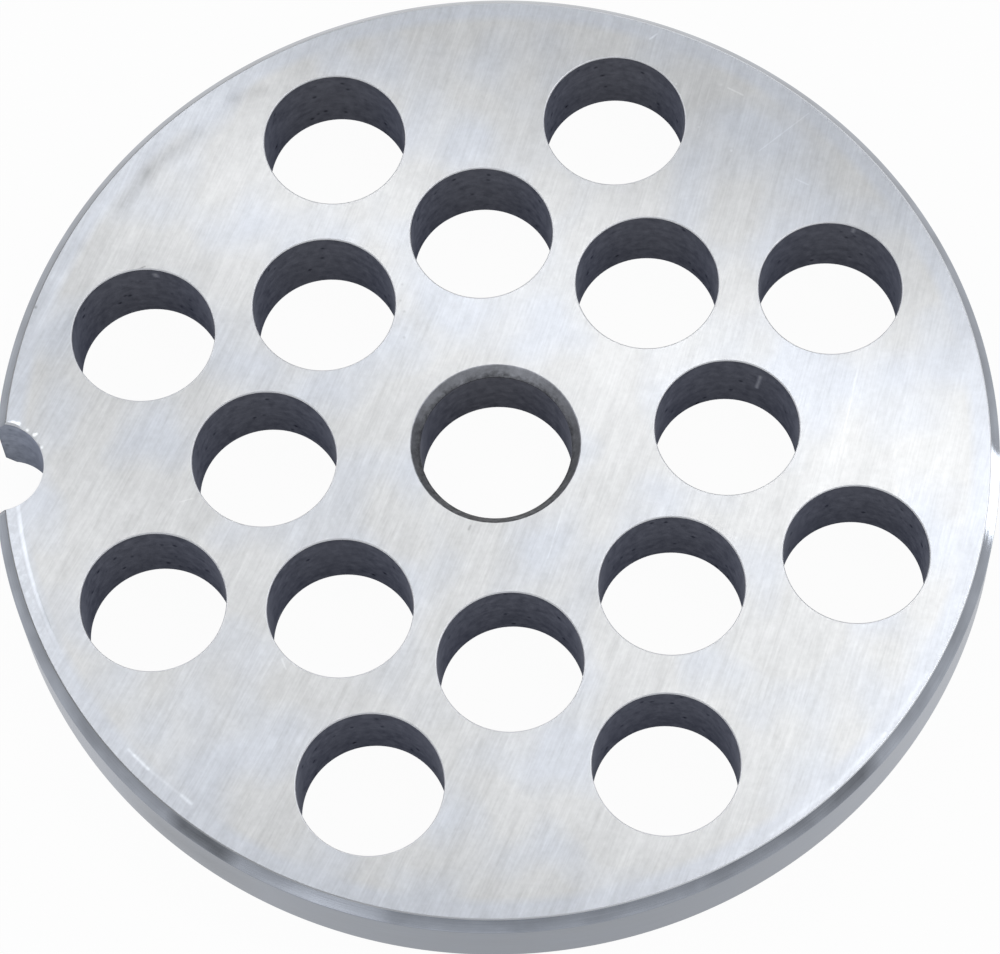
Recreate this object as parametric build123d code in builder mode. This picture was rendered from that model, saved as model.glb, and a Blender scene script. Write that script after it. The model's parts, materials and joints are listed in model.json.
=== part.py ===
"""Meat grinder plate, size 12, with 10 mm holes: one solid steel disc.

The disc is turned to its section, drilled with two staggered rings of holes, and milled with
one locating notch. It is the same on both faces, so it can be turned over when one is worn.

The origin is on the plate's axis, in its lower face. +Z points up through the plate, and the
notch is on the -X side. All sizes are in millimetres and degrees.
"""

import os

from build123d import *

# Disc. Both edges of the rim carry the same chamfer.
plate_diameter = 69.5
plate_thickness = 7.0
rim_chamfer_width = 0.7
rim_chamfer_height = 0.9

# Centre bore, in which the stub of the screw and the knife turns, chamfered at both ends.
bore_diameter = 10.5
bore_chamfer_width = 0.6
bore_chamfer_height = 0.8

# Meat holes, drilled square to the faces. Their edges stay sharp, because they cut.
hole_diameter = 10.0
holes_per_ring = 8
inner_ring_diameter = 32.0
outer_ring_diameter = 52.0

# Locating notch with a round end, which sits over the key in the grinder's housing. It lies
# a little off the line of the holes.
notch_width = 6.4
notch_depth = 3.5
notch_angle = 178.8

# Worked out from the sizes above.
plate_radius = plate_diameter / 2
bore_radius = bore_diameter / 2
face_outer_radius = plate_radius - rim_chamfer_width
face_inner_radius = bore_radius + bore_chamfer_width
half_hole_pitch = 180 / holes_per_ring
notch_end_radius = notch_width / 2
notch_floor_radius = plate_radius - notch_depth

with BuildPart() as grinder_plate:
    # Half section from the bore out to the rim, turned about the plate's axis.
    with BuildSketch(Plane.XZ):
        with BuildLine():
            Polyline(
                (face_inner_radius, 0),
                (face_outer_radius, 0),
                (plate_radius, rim_chamfer_height),
                (plate_radius, plate_thickness - rim_chamfer_height),
                (face_outer_radius, plate_thickness),
                (face_inner_radius, plate_thickness),
                (bore_radius, plate_thickness - bore_chamfer_height),
                (bore_radius, bore_chamfer_height),
                close=True,
            )
        make_face()
    revolve(axis=Axis.Z)

    # Inner ring, then the outer ring, turned by half a pitch so that the holes stagger.
    with PolarLocations(inner_ring_diameter / 2, holes_per_ring):
        Hole(hole_diameter / 2)
    with PolarLocations(outer_ring_diameter / 2, holes_per_ring, start_angle=half_hole_pitch):
        Hole(hole_diameter / 2)

    # Notch: a slot drawn along its own radius, with the centre of its round end on X.
    with BuildSketch(Plane.XY.rotated((0, 0, notch_angle))):
        with Locations((notch_floor_radius + notch_end_radius, 0)):
            Circle(notch_end_radius)
            Rectangle(notch_depth, notch_width, align=(Align.MIN, Align.CENTER))
    extrude(amount=plate_thickness, mode=Mode.SUBTRACT)

grinder_plate.part.label = "grinder_plate"

os.makedirs("parts", exist_ok=True)
export_step(grinder_plate.part, "parts/grinder_plate.step")
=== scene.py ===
"""Looks for the meat grinder plate: a ground steel disc with dark drilled holes and a turned rim.

Everything is in the frame of the CAD model: the plate lies on the floor, its axis on Z, its
locating notch towards -X. The plate's lengths are in millimetres, and become metres in its mesh.
The floor and the lights are placed in metres.
"""

import json
import math

import bpy
from mathutils import Euler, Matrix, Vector, geometry


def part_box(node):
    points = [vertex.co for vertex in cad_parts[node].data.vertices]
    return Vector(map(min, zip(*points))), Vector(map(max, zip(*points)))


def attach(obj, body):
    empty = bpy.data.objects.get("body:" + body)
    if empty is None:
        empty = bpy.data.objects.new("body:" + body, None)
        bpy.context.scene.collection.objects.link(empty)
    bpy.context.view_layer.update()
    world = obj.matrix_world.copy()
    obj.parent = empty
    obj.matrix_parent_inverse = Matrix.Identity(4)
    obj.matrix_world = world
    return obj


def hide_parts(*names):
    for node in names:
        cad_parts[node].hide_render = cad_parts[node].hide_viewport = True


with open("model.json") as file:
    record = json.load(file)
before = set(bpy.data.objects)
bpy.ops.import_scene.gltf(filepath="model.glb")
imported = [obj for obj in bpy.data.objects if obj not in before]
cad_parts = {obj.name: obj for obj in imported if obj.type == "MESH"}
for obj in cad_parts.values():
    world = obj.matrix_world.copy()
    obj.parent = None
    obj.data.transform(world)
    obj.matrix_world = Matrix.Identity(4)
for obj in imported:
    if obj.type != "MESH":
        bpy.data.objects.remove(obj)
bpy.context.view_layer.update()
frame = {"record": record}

MM = 0.001
NODE = "grinder_plate"
mounts = {m["name"]: m for m in frame["record"]["mounts"]}

# Sizes of the plate. Those of the rim and the bore come from the record's mounts and the CAD
# node's box, and the rest are part.py's.
PLATE_RADIUS = mounts["rim"]["dims"]["r_mm"]
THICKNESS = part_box(NODE)[1].z / MM
RIM_CHAMFER_WIDTH = 0.7
RIM_CHAMFER_HEIGHT = (THICKNESS - mounts["rim"]["dims"]["length_mm"]) / 2
BORE_RADIUS = mounts["bore"]["dims"]["r_mm"]
BORE_CHAMFER_WIDTH = 0.6
BORE_CHAMFER_HEIGHT = (THICKNESS - mounts["bore"]["dims"]["length_mm"]) / 2
HOLE_RADIUS = 5.0
HOLES_PER_RING = 8
RING_RADII = (16.0, 26.0)
NOTCH_WIDTH = 6.4
NOTCH_DEPTH = 3.5
NOTCH_ANGLE = math.radians(178.8)

FACE_RADIUS = PLATE_RADIUS - RIM_CHAMFER_WIDTH
NOTCH_CENTRE = PLATE_RADIUS - NOTCH_DEPTH + NOTCH_WIDTH / 2

# How far the real edges are broken, and how finely the loops are divided.
EDGE_BREAK = 0.06
HOLE_EDGE_BREAK = 0.08
EDGE_STEPS = 3
RIM_STEPS = 720
NOTCH_STEPS = 72
HOLE_STEPS = 96
BORE_STEPS = 128

# The land is the outer strip of each face. Below the notch it is worn down a little, and its
# inner edge is a narrow step, with a highlight painted on it in the upper face's colour. The
# angles are in degrees round the axis: those of the painted step, and where the drop starts,
# which is clear of the notch. It reaches its depth over the run-in, and comes back up over the
# run-out.
LAND_RADIUS = 32.98
LAND_STEP = 0.42
LAND_NOTCH_GAP = 0.9
LAND_WEAR = 0.03
LAND_WEAR_ANGLES = (183.0, 202.0)
LAND_WEAR_START = 185.6
LAND_WEAR_RUN_IN = 2.0
LAND_WEAR_RUN_OUT = 6.0

# Where the notch's upper edge is rolled over: place, half its length and its width.
NOTCH_BURRS = [
    ((-33.35, 3.92), 0.75, 0.16),
    ((-32.30, 3.45), 0.22, 0.10),
    ((-31.85, 3.05), 0.26, 0.16),
    ((-31.38, 2.18), 0.22, 0.10),
]

# A level is in a face when it is this near to it. A triangle is in a hole when its middle is
# this far inside the hole's polygon, and by more in the notch, whose sides aren't all alike.
SAME_LEVEL = 1e-6
INSIDE_BY = 1e-5
IN_NOTCH_BY = 1e-4


# --- Camera, at the photograph's place -------------------------------------------------------

CAMERA_PLACE = (0.43, -119.04, 298.70)
CAMERA_TURN = (21.722, 1.492, -3.597)    # in degrees
CAMERA_LENS = 164.48
SENSOR_WIDTH = 36.0
CLIP_START = 20.0


def make_camera():
    data = bpy.data.cameras.new("camera")
    data.sensor_width = SENSOR_WIDTH
    data.lens = CAMERA_LENS
    data.clip_start = CLIP_START * MM
    camera = bpy.data.objects.new("camera", data)
    camera.location = Vector(CAMERA_PLACE) * MM
    camera.rotation_euler = Euler([math.radians(angle) for angle in CAMERA_TURN])
    bpy.context.scene.collection.objects.link(camera)
    bpy.context.scene.camera = camera


# --- Shape -----------------------------------------------------------------------------------

def soften(section, cut):
    """The section's points, with each inner corner turned into a short curve."""
    points = [section[0]]
    for before, corner, after in zip(section, section[1:], section[2:]):
        start = corner + (before - corner).normalized() * cut
        end = corner + (after - corner).normalized() * cut
        for step in range(EDGE_STEPS + 1):
            t = step / EDGE_STEPS
            points.append(start * (1 - t) ** 2 + corner * 2 * t * (1 - t) + end * t ** 2)
    points.append(section[-1])
    return points


def notch_side(radius, gap):
    """One side of the notch, from its corner at this radius in to its deepest point.

    The points are (out, across) along the notch's own radius. gap moves the outline into the
    metal by that much.
    """
    half = NOTCH_WIDTH / 2 + gap
    corner_out = math.sqrt(radius ** 2 - half ** 2)
    flank = corner_out - NOTCH_CENTRE
    if flank >= 0:
        start_angle = math.pi / 2
    else:
        flank = 0.0
        corner_out = (radius ** 2 + NOTCH_CENTRE ** 2 - half ** 2) / (2 * NOTCH_CENTRE)
        start_angle = math.acos((corner_out - NOTCH_CENTRE) / half)
    arc = (math.pi - start_angle) * half
    points = []
    for step in range(NOTCH_STEPS // 2 + 1):
        run = (flank + arc) * step / (NOTCH_STEPS // 2)
        if run < flank:
            points.append((corner_out - run, half))
        else:
            angle = start_angle + (run - flank) / half
            points.append((NOTCH_CENTRE + half * math.cos(angle), half * math.sin(angle)))
    return points


def land_wear(x, y):
    """How far the land is worn down at this place."""
    if math.hypot(x, y) < LAND_RADIUS + LAND_STEP / 2:
        return 0.0
    angle = math.degrees(math.atan2(y, x)) % 360
    run_in = (angle - LAND_WEAR_START) / LAND_WEAR_RUN_IN
    run_out = (LAND_WEAR_ANGLES[1] - angle) / LAND_WEAR_RUN_OUT + 0.5
    return LAND_WEAR * max(0.0, min(1.0, run_in, run_out))


def notch_burr(x, y):
    """How far the notch's upper edge is rolled over at this place."""
    width = 0.0
    for (burr_x, burr_y), half_length, burr_width in NOTCH_BURRS:
        away = math.hypot(x - burr_x, y - burr_y) / half_length
        if away < 1:
            width = max(width, burr_width * (1 - away ** 3))
    return width


def rim_outline(radius, gap, rolled=0.0):
    """The plate's outline at one level: round the rim, then in and out of the notch.

    rolled is how much of the notch's burrs this level takes, from 0 to 1.
    """
    side = notch_side(radius, gap)
    corner_angle = math.atan2(side[0][1], side[0][0])
    points = []
    for step in range(RIM_STEPS + 1):
        angle = corner_angle + (2 * math.pi - 2 * corner_angle) * step / RIM_STEPS
        points.append((radius * math.cos(angle), radius * math.sin(angle)))
    points += [(out, -across) for out, across in side[1:]]
    points += [(out, across) for out, across in reversed(side[1:-1])]
    turn_cos, turn_sin = math.cos(NOTCH_ANGLE), math.sin(NOTCH_ANGLE)
    outline = []
    for out, across in points:
        x, y = out * turn_cos - across * turn_sin, out * turn_sin + across * turn_cos
        burr = notch_burr(x, y) * rolled
        if burr > 0:
            push = Vector((min(0.0, out - NOTCH_CENTRE), across)).normalized() * burr
            x += push.x * turn_cos - push.y * turn_sin
            y += push.x * turn_sin + push.y * turn_cos
        outline.append((x, y))
    return outline


def circle(centre, radius, steps):
    """Points round a circle."""
    angles = [2 * math.pi * step / steps for step in range(steps)]
    return [(centre[0] + radius * math.cos(a), centre[1] + radius * math.sin(a)) for a in angles]


def hole_centres():
    """The meat holes' middles. The outer ring is turned by half a pitch."""
    centres = []
    for ring, ring_radius in enumerate(RING_RADII):
        for hole in range(HOLES_PER_RING):
            angle = 2 * math.pi * (hole + ring / 2) / HOLES_PER_RING
            centres.append((ring_radius * math.cos(angle), ring_radius * math.sin(angle)))
    return centres


class PlateMesh:
    """Collects the plate's surface as loops of vertices, joined by quads."""

    def __init__(self):
        self.vertices = []
        self.faces = []
        self.slots = []
        self.sharp_loops = []

    def loop(self, points, z):
        """Adds one closed loop of vertices. z is one height, or a function of (x, y)."""
        first = len(self.vertices)
        for x, y in points:
            height = z(x, y) if callable(z) else z
            self.vertices.append((x, y, height))
        return list(range(first, len(self.vertices)))

    def join(self, upper, lower, slot, outward):
        """Quads from one loop down to the next. outward is True on an outside surface.

        slot is one material, or a function of the place in the loop.
        """
        count = len(upper)
        for i in range(count):
            j = (i + 1) % count
            quad = (upper[i], lower[i], lower[j], upper[j])
            self.faces.append(quad if outward else quad[::-1])
            self.slots.append(slot(i) if callable(slot) else slot)

    def cap(self, outer, inner, up, slot, inside):
        """A flat face between the outer loop and the inner ones.

        inside says whether a triangle with this middle belongs to the face.
        """
        loops = [outer] + inner
        order = [v for loop in loops for v in loop]
        flat = [Vector(self.vertices[v][:2]) for v in order]
        edges = []
        first = 0
        for loop in loops:
            count = len(loop)
            edges += [(first + i, first + (i + 1) % count) for i in range(count)]
            first += count
        _, _, triangles, source, _, _ = geometry.delaunay_2d_cdt(flat, edges, [], 0, SAME_LEVEL)
        for triangle in triangles:
            corners = [order[source[v][0]] for v in triangle]
            middle = sum((Vector(self.vertices[v][:2]) for v in corners), Vector((0, 0))) / 3
            if inside(middle):
                self.faces.append(tuple(corners if up else reversed(corners)))
                self.slots.append(slot)
        self.sharp_loops += loops


# Which material each part of the surface takes, in the order of make_materials.
UPPER_FACE, LOWER_FACE, RIM_CHAMFER, RIM_WALL = range(4)
HOLE_WALL, BORE_CHAMFER, BORE_WALL, NOTCH_WALL, EDGE, RIM_EDGE = range(4, 10)


def below_face(z):
    """How far this height is from the nearer face."""
    return min(z, THICKNESS - z)


def strips(loops, levels):
    """Each loop with the next one down, and the height halfway between them."""
    for upper, lower, top, bottom in zip(loops, loops[1:], levels, levels[1:]):
        yield upper, lower, (top[1] + bottom[1]) / 2


def on_the_metal(point):
    """True where the flat face has metal: not in a hole, the bore or the notch.

    The loops are polygons, so each test stops just short of the middle of their sides. The
    notch's end has its steps in at most a half circle, and a hole has them in a whole one.
    """
    edge = (HOLE_RADIUS + HOLE_EDGE_BREAK) * math.cos(math.pi / HOLE_STEPS)
    for centre in hole_centres():
        if (point - Vector(centre)).length < edge - INSIDE_BY:
            return False
    edge = (BORE_RADIUS + BORE_CHAMFER_WIDTH + EDGE_BREAK) * math.cos(math.pi / BORE_STEPS)
    if point.length < edge - INSIDE_BY:
        return False
    out = point.x * math.cos(NOTCH_ANGLE) + point.y * math.sin(NOTCH_ANGLE)
    across = -point.x * math.sin(NOTCH_ANGLE) + point.y * math.cos(NOTCH_ANGLE)
    edge = (NOTCH_WIDTH / 2 + LAND_NOTCH_GAP) * math.cos(math.pi / NOTCH_STEPS / 2)
    in_slot = out > NOTCH_CENTRE and abs(across) < edge
    in_end = math.hypot(out - NOTCH_CENTRE, across) < edge - IN_NOTCH_BY
    return not (in_slot or in_end)


def build_rim(mesh):
    """The strips at the edge of both faces, the chamfers, the wall and the notch."""
    section = [
        Vector((FACE_RADIUS, THICKNESS)),
        Vector((PLATE_RADIUS, THICKNESS - RIM_CHAMFER_HEIGHT)),
        Vector((PLATE_RADIUS, RIM_CHAMFER_HEIGHT)),
        Vector((FACE_RADIUS, 0)),
    ]
    inner_top = Vector((LAND_RADIUS, THICKNESS))
    step_top = Vector((LAND_RADIUS + LAND_STEP, THICKNESS))
    inner_bottom = Vector((LAND_RADIUS, 0))
    levels = soften([inner_top, step_top] + section + [inner_bottom], EDGE_BREAK)
    loops = []
    for radius, z in levels:
        # inward is 1 at the land's inner edge, and 0 where the edge's break starts.
        inward = 0.0
        if below_face(z) < SAME_LEVEL:
            edge = FACE_RADIUS - EDGE_BREAK
            inward = max(0.0, (edge - radius) / (edge - LAND_RADIUS))
        gap = max(0.0, EDGE_BREAK - below_face(z)) + (LAND_NOTCH_GAP - EDGE_BREAK) * inward
        rolled = max(0.0, 1 - (THICKNESS - z) / EDGE_BREAK) * (1 - inward)
        outline = rim_outline(radius, gap, rolled)
        if z < THICKNESS - EDGE_BREAK:
            loops.append(mesh.loop(outline, z))
        else:
            loops.append(mesh.loop(outline, lambda x, y, z=z: z - land_wear(x, y)))

    for upper, lower, height in strips(loops, levels):
        depth = below_face(height)
        if depth < SAME_LEVEL:
            face = UPPER_FACE if height > THICKNESS / 2 else LOWER_FACE
            mesh.join(upper, lower, face, True)
            continue
        outside = RIM_CHAMFER if depth < RIM_CHAMFER_HEIGHT else RIM_WALL
        inside = NOTCH_WALL
        if depth < EDGE_BREAK:
            outside, inside = RIM_EDGE, EDGE
        mesh.join(upper, lower, lambda i: outside if i < RIM_STEPS else inside, True)
    # The land's step stays smooth, and every loop after it is an edge.
    mesh.sharp_loops += loops[EDGE_STEPS + 2:]
    return loops[0], loops[-1]


def build_opening(mesh, centre, steps, section, cut, slot):
    """The wall of a round opening, from the upper face down to the lower one.

    section runs down the wall. cut is how far its edges are broken, and slot gives the material
    at a distance from the nearer face.
    """
    outward = Vector((1, 0))
    levels = soften([section[0] + outward] + section + [section[-1] + outward], cut)[1:-1]
    loops = [mesh.loop(circle(centre, radius, steps), z) for radius, z in levels]
    for upper, lower, height in strips(loops, levels):
        mesh.join(upper, lower, slot(below_face(height)), False)
    mesh.sharp_loops += loops
    return loops[0], loops[-1]


def build_hole(mesh, centre):
    section = [Vector((HOLE_RADIUS, THICKNESS)), Vector((HOLE_RADIUS, 0))]

    def slot(depth):
        return EDGE if depth < HOLE_EDGE_BREAK else HOLE_WALL

    return build_opening(mesh, centre, HOLE_STEPS, section, HOLE_EDGE_BREAK, slot)


def build_bore(mesh):
    mouth = BORE_RADIUS + BORE_CHAMFER_WIDTH
    section = [
        Vector((mouth, THICKNESS)),
        Vector((BORE_RADIUS, THICKNESS - BORE_CHAMFER_HEIGHT)),
        Vector((BORE_RADIUS, BORE_CHAMFER_HEIGHT)),
        Vector((mouth, 0)),
    ]

    def slot(depth):
        return BORE_CHAMFER if depth < BORE_CHAMFER_HEIGHT else BORE_WALL

    return build_opening(mesh, (0, 0), BORE_STEPS, section, EDGE_BREAK, slot)


def build_plate(materials):
    """The whole plate as one closed mesh."""
    mesh = PlateMesh()
    outer_top, outer_bottom = build_rim(mesh)
    inner = [build_hole(mesh, centre) for centre in hole_centres()]
    inner.append(build_bore(mesh))
    mesh.cap(outer_top, [top for top, _ in inner], True, UPPER_FACE, on_the_metal)
    mesh.cap(outer_bottom, [bottom for _, bottom in inner], False, LOWER_FACE, on_the_metal)

    data = bpy.data.meshes.new("plate")
    data.from_pydata([Vector(v) * MM for v in mesh.vertices], [], mesh.faces)
    for material in materials:
        data.materials.append(material)
    data.polygons.foreach_set("material_index", mesh.slots)
    data.polygons.foreach_set("use_smooth", [True] * len(mesh.faces))
    sharp = set()
    for loop in mesh.sharp_loops:
        sharp |= {frozenset(pair) for pair in zip(loop, loop[1:] + loop[:1])}
    for edge in data.edges:
        edge.use_edge_sharp = frozenset(edge.vertices) in sharp
    data.update()
    plate = bpy.data.objects.new("plate", data)
    bpy.context.scene.collection.objects.link(plate)
    return plate


# --- Materials -------------------------------------------------------------------------------

class Nodes:
    """A short way to write a material's nodes."""

    def __init__(self, name):
        self.material = bpy.data.materials.new(name)
        self.material.use_nodes = True
        self.tree = self.material.node_tree
        self.shader = self.tree.nodes["Principled BSDF"]
        self.output = self.tree.nodes["Material Output"]

    def add(self, kind, **settings):
        node = self.tree.nodes.new(kind)
        for key, value in settings.items():
            setattr(node, key, value)
        return node

    def feed(self, socket, value):
        """Links value if it is a socket, and sets it if it is a number or a vector."""
        if isinstance(value, bpy.types.NodeSocket):
            self.tree.links.new(value, socket)
        else:
            socket.default_value = value

    def math(self, operation, *values, clamp=False):
        node = self.add("ShaderNodeMath", operation=operation, use_clamp=clamp)
        for socket, value in zip(node.inputs, values):
            self.feed(socket, value)
        return node.outputs[0]

    def vector(self, operation, *values):
        node = self.add("ShaderNodeVectorMath", operation=operation)
        for socket, value in zip(node.inputs, values):
            self.feed(socket, value)
        scalar = operation in ("DOT_PRODUCT", "DISTANCE", "LENGTH")
        return node.outputs["Value" if scalar else "Vector"]

    def combine(self, x, y, z):
        node = self.add("ShaderNodeCombineXYZ")
        for socket, value in zip(node.inputs, (x, y, z)):
            self.feed(socket, value)
        return node.outputs[0]

    def noise(self, vector, scale=1.0, detail=2.0, roughness=0.5):
        node = self.add("ShaderNodeTexNoise")
        self.feed(node.inputs["Vector"], vector)
        node.inputs["Scale"].default_value = scale
        node.inputs["Detail"].default_value = detail
        node.inputs["Roughness"].default_value = roughness
        return node.outputs[0]

    def wander(self, vector, scale=1.0, detail=2.0, roughness=0.5):
        """Noise with its middle at 0."""
        return self.math("SUBTRACT", self.noise(vector, scale, detail, roughness), 0.5)

    def ramp(self, value, low, high, to_low=0.0, to_high=1.0):
        """A straight climb from to_low to to_high while value goes from low to high."""
        node = self.add("ShaderNodeMapRange", clamp=True)
        for socket, number in zip(node.inputs, (value, low, high, to_low, to_high)):
            self.feed(socket, number)
        return node.outputs[0]

    def mix(self, factor, first, second):
        """A blend of two colours. Sockets 6 and 7 are the ones that the Mix node has for them."""
        node = self.add("ShaderNodeMix", data_type="RGBA")
        self.feed(node.inputs["Factor"], factor)
        for socket, value in ((node.inputs[6], first), (node.inputs[7], second)):
            self.feed(socket, value if isinstance(value, bpy.types.NodeSocket) else (*value, 1.0))
        return node.outputs[2]

    def scaled_colour(self, colour, amount):
        """A colour times a number that varies over the surface."""
        node = self.add("ShaderNodeVectorMath", operation="SCALE")
        self.feed(node.inputs[0], colour)
        self.feed(node.inputs["Scale"], amount)
        return node.outputs["Vector"]

    def vary(self, shade, by, depth):
        """A shade made lighter by this much of a value that varies over the surface."""
        return self.math("MULTIPLY_ADD", by, depth, shade)

    def paint(self, colour, shade):
        self.feed(self.shader.inputs["Base Color"], self.scaled_colour(colour, shade))

    def place(self):
        """Where the surface is, in millimetres in the plate's own frame."""
        coordinates = self.add("ShaderNodeTexCoord")
        node = self.add("ShaderNodeVectorMath", operation="SCALE")
        self.feed(node.inputs[0], coordinates.outputs["Object"])
        node.inputs["Scale"].default_value = 1 / MM
        return node.outputs["Vector"]

    def split(self, vector):
        node = self.add("ShaderNodeSeparateXYZ")
        self.feed(node.inputs[0], vector)
        return node.outputs

    def dot(self, place, centre, radius):
        """1 at the centre, falling to 0 at the radius."""
        return self.ramp(self.vector("DISTANCE", place, centre), 0.0, radius, 1.0, 0.0)

    def mark(self, place, start, end, half_width):
        """1 on the line from start to end, falling to 0 at its edge."""
        run = Vector(end) - Vector(start)
        from_start = self.vector("SUBTRACT", place, start)
        share = self.vector("DOT_PRODUCT", from_start, run / run.length_squared)
        share = self.math("ADD", share, 0.0, clamp=True)    # no further than either end
        off = self.vector("MULTIPLY_ADD", share, -run, from_start)
        return self.ramp(self.vector("LENGTH", off), 0.0, half_width, 1.0, 0.0)

    def bump(self, height, distance):
        node = self.add("ShaderNodeBump")
        node.inputs["Strength"].default_value = 1.0
        node.inputs["Distance"].default_value = distance * MM
        self.feed(node.inputs["Height"], height)
        self.feed(self.shader.inputs["Normal"], node.outputs[0])

    def steel(self, roughness, anisotropic=0.0):
        self.shader.inputs["Metallic"].default_value = 1.0
        self.feed(self.shader.inputs["Roughness"], roughness)
        self.shader.inputs["Anisotropic"].default_value = anisotropic


# Grinding marks: nearly straight lines, at this angle from X in the middle of the plate. They
# fan out and bend a little, in radians for each millimetre across and along them.
LAY_ANGLE = math.radians(66)
LAY_FAN = 0.0023
LAY_BEND = 0.0030

# Streaks along the grinding marks: their width and length, the noise's detail and its place, and
# how much lighter and darker they are. Blotches have the noise's scale, its detail and as much.
STREAKS = {
    "hair": (0.14, 2.4, 2.0, 0.0, 0.26),
    "marks": (0.45, 5.0, 2.0, 3.7, 0.24),
    "bands": (2.2, 11.0, 1.0, 8.1, 0.18),
}
BLOTCHES = [
    (3.2, 1.0, 0.16),
    (0.9, 2.0, 0.13),
]
TONE_SCALE = 0.16
TONE_RANGE = (0.44, 0.66)
FACE_ROUGHNESS = 0.30
MARKS_ROUGHNESS = 0.06
HAIR_BUMP = 0.003

# The land's look, at distances from its inner edge outwards: where its bluer tone starts and is
# full, where the step's painted highlight starts, is full, fades and ends, and where the worn strip
# starts.
LAND_TONE = (-0.5, 0.2)
STEP_START = (-0.03, 0.08)
STEP_END = (0.20, 0.38)
STRIP_START = (0.35, 0.45)
# The step's painted highlight, then the worn strip's lighter tone and its specks.
STEP_PAINTED_HIGHLIGHT = 0.42
STRIP_LIGHT = 0.03
STRIP_SPECK_LIGHT = 0.10
STRIP_SPECK_SCALE = 2.6
STRIP_SPECK_RANGE = (0.50, 0.62)
WEAR_FADE = (0.03, -0.09)    # radians past each end of the worn stretch, and short of it

# Scratches, lighter and darker bands and specks on the upper face, and highlights painted where the
# notch's edge is rolled over. A mark has where from, where to, half the width, and how much lighter
# or darker than the face it is. A speck has where, its radius and how much.
FACE_MARKS_AND_PAINTED_HIGHLIGHTS = [
    ((12.94, 30.28), (13.46, 30.64), 0.10, 0.30),
    ((18.20, 25.97), (19.18, 25.34), 0.10, 0.22),
    ((19.95, 20.86), (23.73, 23.57), 0.07, 0.16),
    ((22.36, 18.49), (23.16, 17.99), 0.09, 0.16),
    ((-21.92, -2.78), (-21.09, -2.59), 0.07, 0.14),
    ((-15.44, -14.71), (-15.20, -15.45), 0.10, 0.16),
    ((25.35, 3.62), (23.86, -1.37), 0.09, 0.10),
    ((4.30, -5.14), (3.03, -8.72), 0.08, 0.12),
    ((-26.03, -20.42), (-25.70, -20.83), 0.17, 0.22),
    ((-25.66, -20.87), (-24.78, -21.87), 0.18, 0.36),
    ((-24.78, -21.87), (-22.60, -23.90), 0.16, 0.10),
    ((-22.54, -23.95), (-21.99, -24.52), 0.20, 0.30),
    ((-2.12, -5.99), (-2.24, -6.24), 0.12, -0.28),
    ((-24.38, 14.89), (-23.73, 15.16), 0.09, -0.45),
    ((-19.79, 25.30), (-23.32, 22.49), 0.95, -0.16),
    ((-23.32, 22.49), (-25.19, 20.11), 0.75, -0.16),
    ((-17.24, 27.65), (-14.92, 28.40), 0.75, -0.13),
    ((-25.00, 22.00), (-8.00, 32.00), 4.50, -0.09),
    ((-30.00, -12.00), (-5.00, -20.00), 7.00, -0.06),
    ((16.50, -29.45), (20.87, -26.53), 0.20, 0.12),
    ((20.87, -26.53), (24.75, -22.95), 0.22, 0.16),
    ((24.75, -22.95), (28.00, -18.85), 0.20, 0.12),
    ((-24.13, 22.56), (-26.33, 19.84), 0.90, 0.08),
    ((-26.33, 19.84), (-27.69, 17.81), 0.80, 0.08),
    ((-28.37, 16.30), (-29.69, 14.67), 0.70, 0.10),
    ((-29.69, 14.67), (-31.16, 11.33), 0.70, 0.10),
    # Highlights painted on the face where the notch's edge is rolled over.
    ((-33.56, 3.90), (-33.30, 3.96), 0.26, 0.70),
    ((-33.30, 3.96), (-32.86, 3.86), 0.20, 1.00),
]
FACE_SPECKS_AND_PAINTED_HIGHLIGHTS = [
    ((17.70, 26.27), 0.20, 0.18),
    ((18.00, 21.04), 0.14, 0.28),
    ((15.87, 23.06), 0.13, 0.24),
    ((11.54, 28.88), 0.13, 0.25),
    ((12.59, 28.33), 0.13, 0.25),
    ((14.52, 26.57), 0.13, 0.28),
    ((-31.49, 12.61), 0.18, -0.45),
    ((-22.92, -5.34), 0.14, -0.22),
    ((-5.78, 12.43), 0.15, -0.22),
    ((-5.96, 11.21), 0.15, -0.20),
    ((-5.73, 10.36), 0.15, -0.24),
    ((-5.86, 8.38), 0.15, -0.24),
    # Highlights painted on the face where the notch's edge is rolled over.
    ((-32.30, 3.32), 0.18, 0.60),
    ((-31.82, 2.94), 0.19, 0.90),
    ((-31.66, 3.01), 0.15, 0.70),
    ((-31.33, 1.98), 0.17, 0.50),
]
FACE_COLOUR = (0.609, 0.613, 0.615)
LAND_COLOUR = (0.586, 0.609, 0.653)


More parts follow.
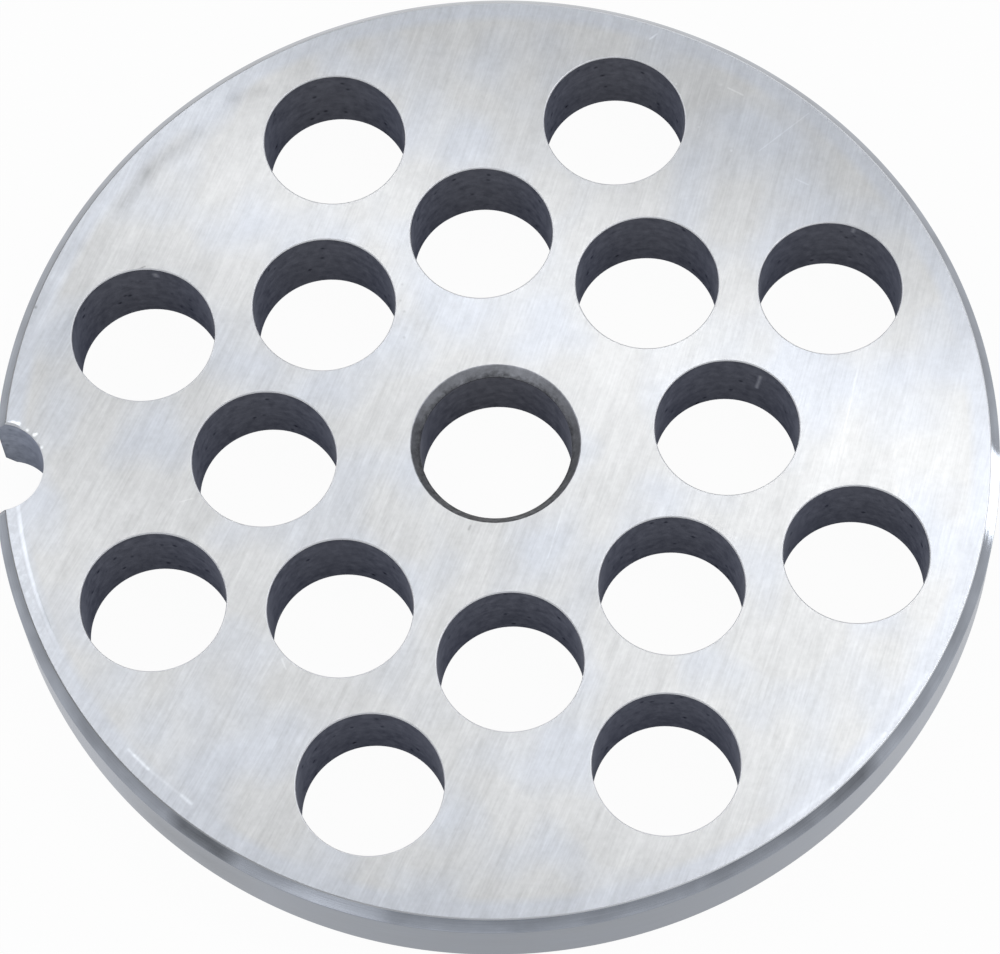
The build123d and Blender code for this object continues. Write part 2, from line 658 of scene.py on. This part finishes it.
def add_wear_and_painted_highlights(nodes, place, colour, shade):
    """The land's bluer tone, wear below the notch, scratches, and painted step and burr highlights.
    """
    unit, radius_here, _ = ring_coordinates(nodes, place)

    def from_land(span, first=0.0, last=1.0):
        """A ramp over this span, measured from the land's inner edge."""
        return nodes.ramp(radius_here, LAND_RADIUS + span[0], LAND_RADIUS + span[1], first, last)

    colour = nodes.mix(from_land(LAND_TONE), colour, LAND_COLOUR)

    start, end = (math.radians(angle) for angle in LAND_WEAR_ANGLES)
    middle = (math.cos((start + end) / 2), math.sin((start + end) / 2), 0)
    half_span = (end - start) / 2
    facing = nodes.vector("DOT_PRODUCT", unit, middle)
    here = nodes.ramp(facing, *(math.cos(half_span + fade) for fade in WEAR_FADE))
    # step is a highlight painted along the land's step.
    step = nodes.math("MULTIPLY", from_land(STEP_START), from_land(STEP_END, 1.0, 0.0))
    specks = nodes.ramp(nodes.noise(place, STRIP_SPECK_SCALE, 1.0), *STRIP_SPECK_RANGE)
    strip_light = nodes.math("MULTIPLY_ADD", specks, STRIP_SPECK_LIGHT, STRIP_LIGHT)
    strip = nodes.math("MULTIPLY", from_land(STRIP_START), strip_light)
    bright = nodes.math("MULTIPLY_ADD", step, STEP_PAINTED_HIGHLIGHT, strip)
    shade = nodes.math("ADD", shade, nodes.math("MULTIPLY", here, bright))

    x, y, _ = nodes.split(place)
    flat = nodes.combine(x, y, 0.0)
    for start, end, half_width, amount in FACE_MARKS_AND_PAINTED_HIGHLIGHTS:
        shade = nodes.vary(shade, nodes.mark(flat, (*start, 0), (*end, 0), half_width), amount)
    for centre, radius, amount in FACE_SPECKS_AND_PAINTED_HIGHLIGHTS:
        shade = nodes.vary(shade, nodes.dot(flat, (*centre, 0), radius), amount)
    return colour, shade


def ground_face(name, colour, lay_angle, seed, wear_and_painted_highlights=False):
    """A flat face, ground by a wheel that left fine, nearly parallel scratches."""
    nodes = Nodes(name)
    place = nodes.place()
    along_axis = (math.cos(lay_angle), math.sin(lay_angle), 0)
    across_axis = (math.sin(lay_angle), -math.cos(lay_angle), 0)
    along = nodes.vector("DOT_PRODUCT", place, along_axis)
    across = nodes.vector("DOT_PRODUCT", place, across_axis)
    fan = nodes.math("MULTIPLY_ADD", along, LAY_FAN, 1.0)
    bend = nodes.math("MULTIPLY", nodes.math("MULTIPLY", along, along), LAY_BEND / 2)
    lane = nodes.math("ADD", nodes.math("MULTIPLY", across, fan), bend)

    shade = 1.0
    streaks = {}
    for kind, (width, length, detail, shift, depth) in STREAKS.items():
        drawn_out = nodes.combine(
            nodes.math("MULTIPLY", lane, 1 / width),
            nodes.math("MULTIPLY", along, 1 / length),
            seed + shift,
        )
        streaks[kind] = nodes.wander(drawn_out, detail=detail)
        shade = nodes.vary(shade, streaks[kind], depth)
    for scale, detail, depth in BLOTCHES:
        shade = nodes.vary(shade, nodes.wander(place, scale, detail), depth)
    tone = nodes.ramp(nodes.noise(place, TONE_SCALE, 1.0), *TONE_RANGE)
    colour = nodes.mix(tone, colour, LAND_COLOUR)
    if wear_and_painted_highlights:
        colour, shade = add_wear_and_painted_highlights(nodes, place, colour, shade)
    nodes.paint(colour, shade)

    roughness = nodes.vary(FACE_ROUGHNESS, streaks["marks"], MARKS_ROUGHNESS)
    nodes.steel(roughness, anisotropic=1.0)
    nodes.feed(nodes.shader.inputs["Tangent"], nodes.combine(*across_axis))
    nodes.bump(streaks["hair"], HAIR_BUMP)
    return nodes.material


def ring_coordinates(nodes, place):
    """The direction from the axis, as a unit vector, the distance from it, and the height."""
    x, y, z = nodes.split(place)
    flat = nodes.combine(x, y, 0.0)
    unit = nodes.vector("NORMALIZE", flat)
    radius = nodes.vector("DOT_PRODUCT", unit, flat)
    return unit, radius, z


# Dark marks on the rim: where from, where to, half the width and how dark. On the chamfer they
# are painted dark reflections, and on the wall a smudge of dirt.
CHAMFER_PAINTED_REFLECTIONS = [
    ((-22.57, -25.96, 6.6), (-20.22, -27.83, 6.6), 1.6, 0.60),
    ((-28.85, -18.74, 6.6), (-27.47, -20.70, 6.6), 1.4, 0.12),
    ((21.18, -27.11, 6.6), (23.02, -25.56, 6.6), 1.8, 0.40),
    ((13.00, -31.40, 6.6), (18.50, -28.50, 6.6), 1.8, 0.24),
]
WALL_SMUDGES = [
    ((-24.14, -25.00, 3.5), (-21.39, -27.38, 3.5), 5.0, 0.26),
]

# The rings that a lathe leaves: the noise's scale round the axis and up it, how much lighter and
# darker they are, and their height. Tarnish makes the metal rougher too.
RINGS_ROUND = 6.0
RINGS_UP = 9.0
RINGS_DEPTH = 0.22
RINGS_BUMP = 0.003
TARNISH_ROUGHNESS = 0.10
HAZE_RANGE = (-0.78, -0.60)    # from the front, at -1, where the haze ends

# The scale in the bore's mouth: how uneven it is, how dark, and how soft its upper edge is.
SCALE_GRAIN = (2.6, 4.0, 0.65)
SCALE_UNEVEN = 0.9
SCALE_DARK = 0.5
SCALE_EDGE = 0.2


def turned_steel(
    name, colour, roughness, seed, clouds, front=(1.0, 0.0), smudges_and_painted_reflections=(), haze=0.0, rise=0.0, scale=0.0
):
    """A surface left by a lathe: fine rings round the plate's axis, and clouds of tarnish.

    clouds is how wide and how deep they are. front is a painted shade: how light the surface is at
    the front, next to the rest, and how far back that reaches, from -1 to 1. haze is how much rougher
    the front is. rise is a painted shade too: how much lighter the rim's chamfer is at its foot than
    at the face. scale is how far under the face the dark scale starts, and 0 is for none.
    """
    cloud_size, cloud_depth = clouds
    front_painted_shade, front_end = front
    nodes = Nodes(name)
    place = nodes.place()
    unit, _, z = ring_coordinates(nodes, place)
    x, y, _ = nodes.split(unit)
    rings = nodes.combine(
        nodes.math("MULTIPLY", x, RINGS_ROUND),
        nodes.math("MULTIPLY", y, RINGS_ROUND),
        nodes.math("MULTIPLY_ADD", z, RINGS_UP, seed),
    )
    grooves = nodes.wander(rings, detail=3.0)
    cloud = nodes.wander(place, 1 / cloud_size, detail=3.0)
    shade = nodes.vary(1.0, grooves, RINGS_DEPTH)
    shade = nodes.vary(shade, cloud, cloud_depth)
    # Painted shade: the front is darker than the rest.
    shade = nodes.math("MULTIPLY", shade, nodes.ramp(y, -1.0, front_end, front_painted_shade, 1.0))
    # Dirty smudges, and on the chamfer painted dark reflections.
    for start, end, half_width, depth in smudges_and_painted_reflections:
        shade = nodes.vary(shade, nodes.mark(place, start, end, half_width), -depth)
    # Painted shade: the chamfer is lighter at its foot and darker at the face.
    if rise:
        foot = THICKNESS - RIM_CHAMFER_HEIGHT
        climb = nodes.ramp(z, foot, THICKNESS, 1 + rise / 2, 1 - rise / 2)
        shade = nodes.math("MULTIPLY", shade, climb)
    if scale:
        grain = nodes.wander(place, *SCALE_GRAIN)
        level = nodes.vary(z, grain, SCALE_UNEVEN)
        top = THICKNESS - scale
        clean = nodes.ramp(level, top - SCALE_EDGE, top + SCALE_EDGE, SCALE_DARK, 1.0)
        shade = nodes.math("MULTIPLY", nodes.vary(shade, grain, SCALE_UNEVEN), clean)
    nodes.paint(colour, shade)
    hazy = nodes.ramp(y, *HAZE_RANGE, roughness + haze, roughness)
    nodes.steel(nodes.vary(hazy, cloud, TARNISH_ROUGHNESS))
    nodes.bump(grooves, RINGS_BUMP)
    return nodes.material


# The edges' painted shade, which changes along X.
EDGE_PAINTED_SHADE_RANGE = (-30.0, 15.0)    # where along X an edge goes from its left look to its right


def edge_steel(name, colour, roughness, left=1.0):
    """A narrow broken edge. left is a painted shade: how light it is on the left, next to the right.
    """
    nodes = Nodes(name)
    x, _, _ = nodes.split(nodes.place())
    # Painted shade along X.
    nodes.paint(colour, nodes.ramp(x, *EDGE_PAINTED_SHADE_RANGE, left, 1.0))
    nodes.steel(roughness)
    return nodes.material


# Light scratches down the walls of holes: where from, where to and half the width.
WALL_MARKS = [
    ((18.70, 4.21, 5.6), (18.49, 4.34, 3.3), 0.20),
    ((26.11, 14.49, 6.6), (26.05, 14.52, 6.1), 0.22),
    ((-23.09, 14.86, 6.2), (-23.05, 14.84, 5.9), 0.30),
]
WALL_MARK_LIGHT = 0.8

# A drilled wall: the noise's scale across and up the hole for the drill's marks, how much they
# show and their height, the scale's grain, and the pits.
DRILL_ACROSS = 0.55
DRILL_UP = 3.2
DRILL_DEPTH = 0.25
DRILL_BUMP = 0.008
WALL_GRAIN = (1.6, 3.0, 0.65)
WALL_GRAIN_DEPTH = 0.7
PIT_SCALE = 0.75
PIT_EDGE = (0.06, 0.16)
# Painted shade low in the hole, where little light reaches.
PAINTED_SHADE_HEIGHTS = (1.0, 6.0)    # the wall is darker below the first height, and full above the second
LOW_PAINTED_SHADE = 0.75
GLANCING_TINT = (0.54, 0.57, 0.68)    # what scale leaves of the light at a glancing angle


def drilled_steel(name, colour, roughness, seed, pit_depth):
    """The wall of a drilled hole, dark with scale, with pits, short drill marks and a painted shade
    low down.
    """
    nodes = Nodes(name)
    place = nodes.place()
    x, y, z = nodes.split(place)
    rings = nodes.combine(
        nodes.math("MULTIPLY", x, DRILL_ACROSS),
        nodes.math("MULTIPLY", y, DRILL_ACROSS),
        nodes.math("MULTIPLY_ADD", z, DRILL_UP, seed),
    )
    drill_marks = nodes.wander(rings, detail=3.0, roughness=0.6)
    cells = nodes.add("ShaderNodeTexVoronoi", feature="F1")
    nodes.feed(cells.inputs["Vector"], place)
    cells.inputs["Scale"].default_value = PIT_SCALE
    pits = nodes.ramp(cells.outputs["Distance"], *PIT_EDGE, 1.0, 0.0)
    shade = nodes.vary(1.0, drill_marks, DRILL_DEPTH)
    shade = nodes.vary(shade, nodes.wander(place, *WALL_GRAIN), WALL_GRAIN_DEPTH)
    shade = nodes.math("MULTIPLY", shade, nodes.vary(1.0, pits, -pit_depth))
    # Painted shade: darker low in the hole.
    shade = nodes.math("MULTIPLY", shade, nodes.ramp(z, *PAINTED_SHADE_HEIGHTS, LOW_PAINTED_SHADE, 1.0))
    for start, end, half_width in WALL_MARKS:
        shade = nodes.vary(shade, nodes.mark(place, start, end, half_width), WALL_MARK_LIGHT)
    nodes.paint(colour, shade)
    nodes.feed(nodes.shader.inputs["Specular Tint"], nodes.scaled_colour(GLANCING_TINT, shade))
    nodes.steel(roughness)
    nodes.bump(drill_marks, DRILL_BUMP)
    return nodes.material


def make_materials():
    """One material for each part of the surface, in the order of the slots."""
    return [
        ground_face("ground_upper_face", FACE_COLOUR, LAY_ANGLE, seed=0.0, wear_and_painted_highlights=True),
        ground_face("ground_lower_face", FACE_COLOUR, -LAY_ANGLE, seed=20.0),
        turned_steel(
            "turned_chamfer", colour=(0.285, 0.305, 0.345), roughness=0.07, seed=0.0,
            clouds=(2.4, 0.6), smudges_and_painted_reflections=CHAMFER_PAINTED_REFLECTIONS, haze=0.09, rise=0.30,
        ),
        turned_steel(
            "turned_wall", colour=(0.30, 0.328, 0.383), roughness=0.34, seed=5.0,
            clouds=(2.0, 0.30), front=(0.72, -0.6), smudges_and_painted_reflections=WALL_SMUDGES,
        ),
        drilled_steel(
            "drilled_wall", colour=(0.097, 0.098, 0.110), roughness=0.5, seed=0.0, pit_depth=0.4
        ),
        turned_steel(
            "bore_chamfer", colour=(0.52, 0.53, 0.57), roughness=0.45, seed=9.0,
            clouds=(2.2, 0.8), front=(0.3, 0.4), scale=0.66,
        ),
        drilled_steel(
            "bore_wall", colour=(0.089, 0.088, 0.094), roughness=0.5, seed=3.0, pit_depth=0.0
        ),
        drilled_steel(
            "notch_wall", colour=(0.273, 0.292, 0.335), roughness=0.45, seed=7.0, pit_depth=0.2
        ),
        edge_steel("bright_edge", colour=(0.82, 0.83, 0.86), roughness=0.4),
        edge_steel("rim_edge", colour=(0.90, 0.92, 0.96), roughness=0.4, left=0.40),
    ]


# --- Floor and light -------------------------------------------------------------------------

FLOOR_SIZE = 4.0
FLOOR_DROP = 0.00002     # the floor is this far under the plate, so that their faces don't meet
FLOOR_WHITE = 0.965      # how much of the floor's look is plain white, next to its shadows
FLOOR_COLOUR = (0.86, 0.86, 0.86)
FLOOR_ROUGHNESS = 0.9
SKY_COLOUR = (0.95, 0.97, 1.0)
SKY_STRENGTH = 0.5

# Softboxes over the plate, square to the grinding marks: how far along the marks and across
# them, their size along and across, and their power.
CEILING = 0.6
CEILING_LIGHTS = {
    "left_softbox": (0.158, -0.45, 0.09, 0.35, 0.285),
    "right_softbox": (0.210, 0.24, 0.12, 0.33, 0.430),
    "middle_strip": (0.264, -0.10, 0.045, 0.35, 0.115),
    "back_softbox": (0.385, -0.20, 0.12, 0.30, 0.145),
}

# Softboxes beside the plate: bearing in degrees, height, width, depth and power.
LOW_LIGHT_DISTANCE = 0.8
LOW_LIGHTS = {
    "front_softbox": (235.0, 0.041, 0.36, 0.08, 0.0615),
    "front_core": (238.0, 0.041, 0.14, 0.08, 0.0240),
    "front_card": (280.0, 0.041, 1.16, 0.08, 0.088),
}

# A small light on the floor, facing up, whose reflection in the rim's chamfer is the gap that
# the photograph shows in the rim at the right.
GLINT_PLACE = (0.0570, -0.0002, 0.0005)
GLINT_TURN = math.radians(-56)
GLINT_SIZE = (0.010, 0.016)
GLINT_POWER = 0.0021


def make_floor():
    """A white floor that keeps the plate's shadow."""
    size = FLOOR_SIZE / 2
    data = bpy.data.meshes.new("floor")
    corners = [(-size, -size, 0), (size, -size, 0), (size, size, 0), (-size, size, 0)]
    data.from_pydata(corners, [], [(0, 1, 2, 3)])
    floor = bpy.data.objects.new("floor", data)
    bpy.context.scene.collection.objects.link(floor)
    floor.location.z = -FLOOR_DROP

    nodes = Nodes("floor")
    nodes.shader.inputs["Base Color"].default_value = (*FLOOR_COLOUR, 1)
    nodes.shader.inputs["Roughness"].default_value = FLOOR_ROUGHNESS
    white = nodes.add("ShaderNodeEmission")
    white.inputs["Strength"].default_value = 1.0
    rays = nodes.add("ShaderNodeLightPath")
    seen = nodes.math("MAXIMUM", rays.outputs["Is Camera Ray"], rays.outputs["Is Glossy Ray"])
    seen = nodes.math("MAXIMUM", seen, rays.outputs["Is Transmission Ray"])
    mixer = nodes.add("ShaderNodeMixShader")
    nodes.feed(mixer.inputs[0], nodes.math("MULTIPLY", seen, FLOOR_WHITE))
    nodes.feed(mixer.inputs[1], nodes.shader.outputs[0])
    nodes.feed(mixer.inputs[2], white.outputs[0])
    nodes.feed(nodes.output.inputs["Surface"], mixer.outputs[0])
    data.materials.append(nodes.material)


def area_light(name, place, turn, size, power):
    data = bpy.data.lights.new(name, "AREA")
    data.shape = "RECTANGLE"
    data.size, data.size_y = size
    data.energy = power
    light = bpy.data.objects.new(name, data)
    light.location = place
    light.rotation_euler = turn
    bpy.context.scene.collection.objects.link(light)
    return light


def ceiling_light(name, along, across, depth, width, power):
    """A softbox over the plate, facing down."""
    x = along * math.cos(LAY_ANGLE) + across * math.sin(LAY_ANGLE)
    y = along * math.sin(LAY_ANGLE) - across * math.cos(LAY_ANGLE)
    turn = (0, 0, LAY_ANGLE - math.pi / 2)
    area_light(name, (x, y, CEILING), turn, (width, depth), power)


def low_light(name, bearing, height, width, depth, power):
    """A softbox beside the plate, in the direction of this bearing, facing the plate."""
    x = LOW_LIGHT_DISTANCE * math.cos(math.radians(bearing))
    y = LOW_LIGHT_DISTANCE * math.sin(math.radians(bearing))
    place = Vector((x, y, height))
    turn = (-place).to_track_quat("-Z", "Y").to_euler()
    area_light(name, place, turn, (width, depth), power)


def make_light():
    world = bpy.data.worlds.new("studio")
    bpy.context.scene.world = world
    world.use_nodes = True
    background = world.node_tree.nodes["Background"]
    background.inputs["Color"].default_value = (*SKY_COLOUR, 1)
    background.inputs["Strength"].default_value = SKY_STRENGTH
    for name, values in CEILING_LIGHTS.items():
        ceiling_light(name, *values)
    for name, values in LOW_LIGHTS.items():
        low_light(name, *values)
    glint = area_light("rim_glint", GLINT_PLACE, (math.pi, 0, GLINT_TURN), GLINT_SIZE, GLINT_POWER)
    glint.visible_camera = False
    bpy.context.scene.view_settings.view_transform = "Standard"


make_camera()
make_floor()
make_light()
plate = build_plate(make_materials())
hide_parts(NODE)
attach(plate, "root")
